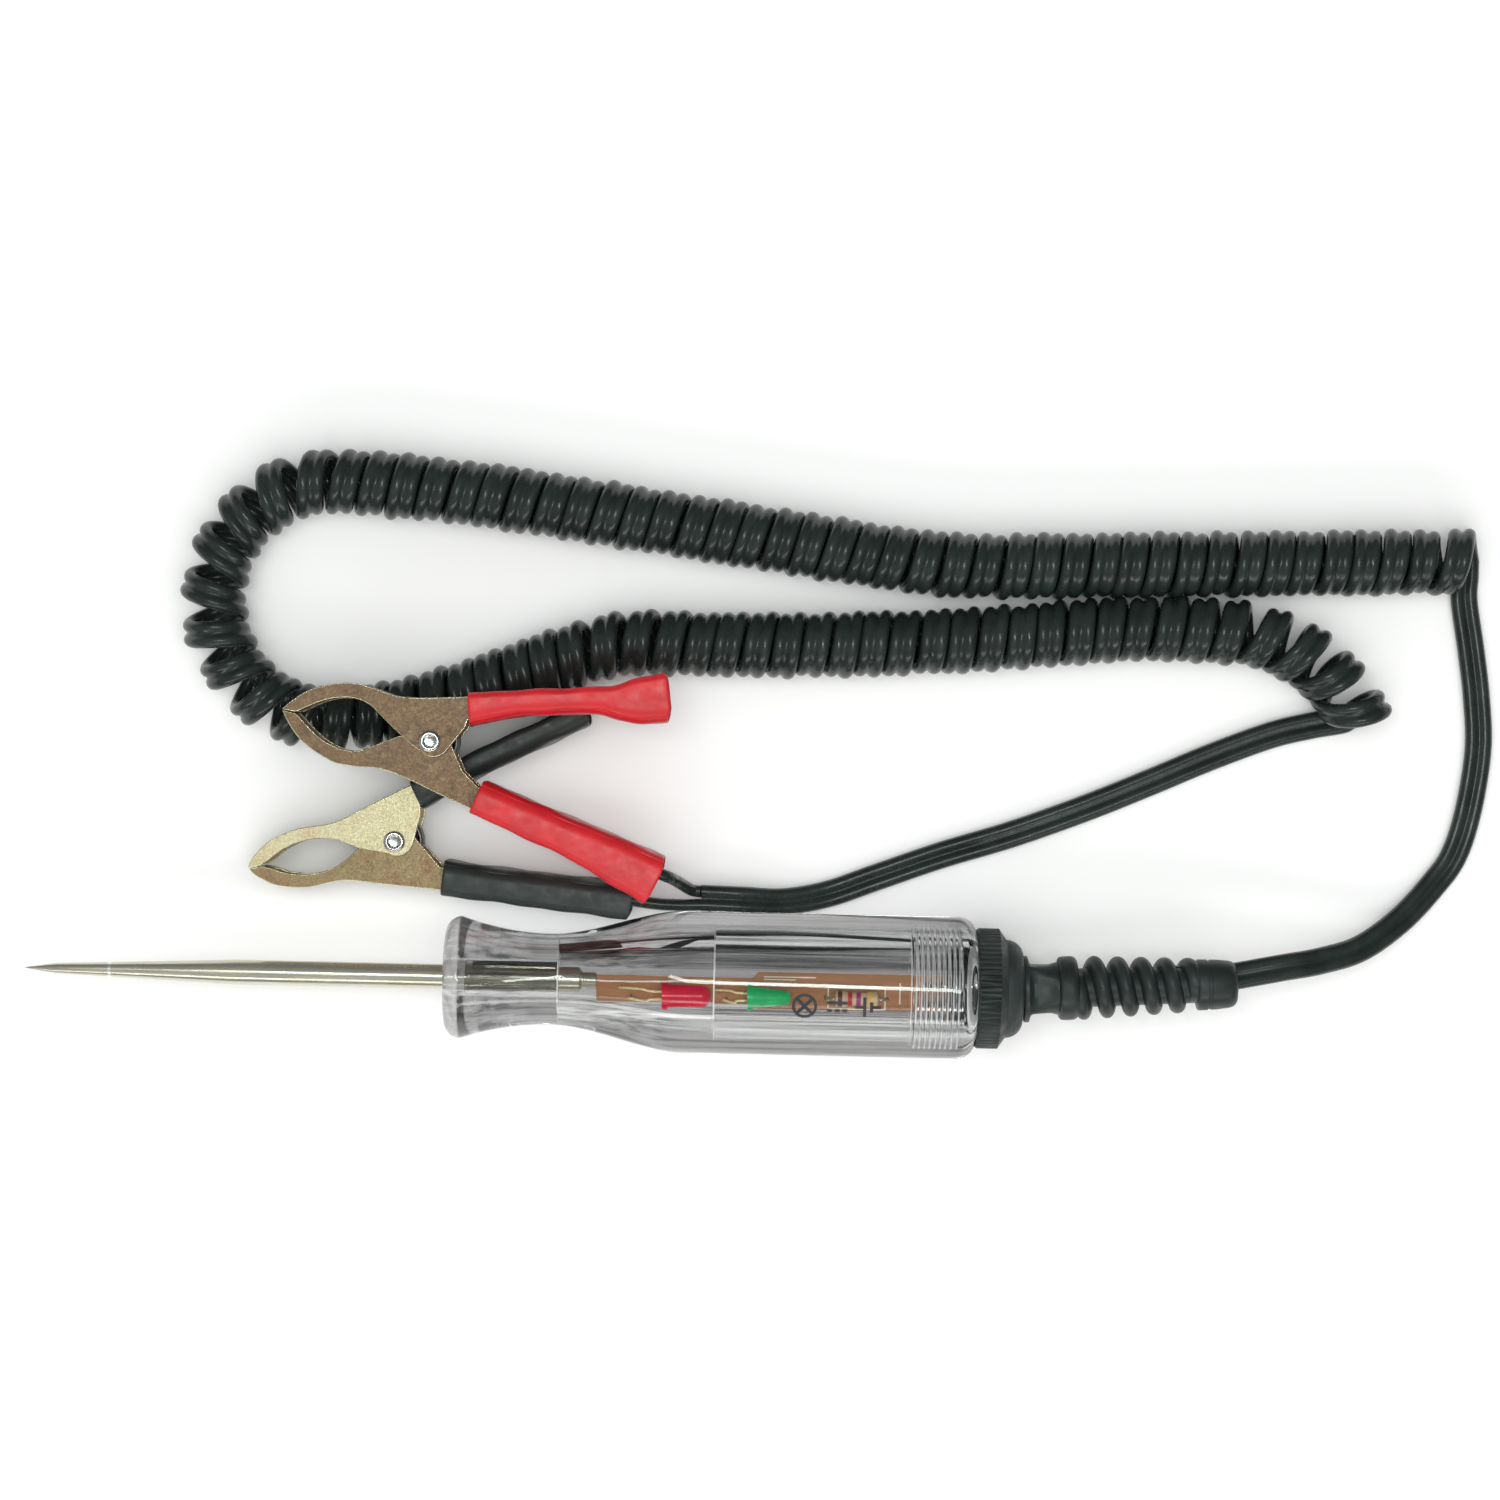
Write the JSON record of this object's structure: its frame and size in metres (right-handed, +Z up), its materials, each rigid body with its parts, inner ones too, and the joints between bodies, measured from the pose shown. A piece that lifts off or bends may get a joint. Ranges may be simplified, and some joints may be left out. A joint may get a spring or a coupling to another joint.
{
  "type": "circuit test light",
  "caption": "Hand-held circuit tester: needle probe in a clear handle with red and green lamps on a board, screw cap, strain relief and a coiled cord to a red and a black spring clip.",
  "frame": {"origin": "on the probe's axis, where the probe leaves the handle's front face", "axes": "+X from the probe's tip to the cap and strain relief, +Z up from the bench the tester lies on, +Y across the bench"},
  "size_m": [0.2802, 0.1141, 0.0271],
  "materials": {
    "clear_plastic": "clear, glossy",
    "plated_steel": "nickel plated",
    "board": "bare laminate",
    "red_lamp": "tinted, glossy",
    "green_lamp": "tinted, glossy",
    "gold_lead": "bright",
    "tinned_lead": "tinned",
    "solder": "satin",
    "resistor_body": "glossy",
    "black_plastic": "satin",
    "black_vinyl": "satin",
    "cord_jacket": "satin",
    "coppered_steel": "thin plating, mottled",
    "gilt_steel": "thin plating, mottled",
    "rivet_steel": "bright",
    "spring_steel": "oiled",
    "red_vinyl": "glossy",
    "black_sleeve_vinyl": "glossy"
  },
  "bodies": {
    "tester": {"handle": "clear_plastic", "probe": "plated_steel", "circuit_board": "board", "red_led": "red_lamp", "green_led": "green_lamp", "led_leads": "gold_lead", "resistor": "resistor_body", "resistor_leads": "tinned_lead", "solder_joints": "solder", "board_wires": "black_vinyl", "handle_lead": "cord_jacket", "coil_cord": "cord_jacket", "clip_lead": "cord_jacket", "red_clip_wire": "cord_jacket", "black_clip_wire": "cord_jacket", "clip_solder_joints": "solder", "red_clip_lower_jaw": "coppered_steel", "red_clip_rivet": "rivet_steel", "red_clip_spring": "spring_steel", "red_clip_lower_sleeve": "red_vinyl", "black_clip_lower_jaw": "gilt_steel", "black_clip_rivet": "rivet_steel", "black_clip_spring": "spring_steel", "black_clip_lower_sleeve": "black_sleeve_vinyl"},
    "strain_relief": {"strain_relief": "black_vinyl"},
    "end_cap": {"end_cap": "black_plastic"},
    "red_clip_jaw": {"red_clip_upper_jaw": "coppered_steel", "red_clip_upper_sleeve": "red_vinyl"},
    "black_clip_jaw": {"black_clip_upper_jaw": "gilt_steel", "black_clip_upper_sleeve": "black_sleeve_vinyl"}
  },
  "joints": [
    {"name": "red_clip_open", "type": "hinge", "parent": "tester", "child": "red_clip_jaw", "pos_m": [-0.0031, 0.0446, 0.00552], "axis": [0, 0, -1], "range_deg": [0, 25], "deforming": ["red_clip_spring"]},
    {"name": "black_clip_open", "type": "hinge", "parent": "tester", "child": "black_clip_jaw", "pos_m": [-0.0106, 0.02535, -0.00723], "axis": [0, 0, -1], "range_deg": [0, 25], "deforming": ["black_clip_spring"]},
    {"name": "cap_slide", "type": "slide", "parent": "tester", "child": "strain_relief", "axis": [1, 0, 0], "range_m": [0, 0.0054], "deforming": ["handle_lead", "board_wires"]},
    {"name": "cap_turn", "type": "hinge", "parent": "strain_relief", "child": "end_cap", "pos_m": [0.105, 0, 0], "axis": [1, 0, 0], "range_deg": [0, 1944]}
  ],
  "couplings": [
    {"joint": "cap_slide", "follows": "cap_turn", "m_per_rad": 0.00015915}
  ]
}
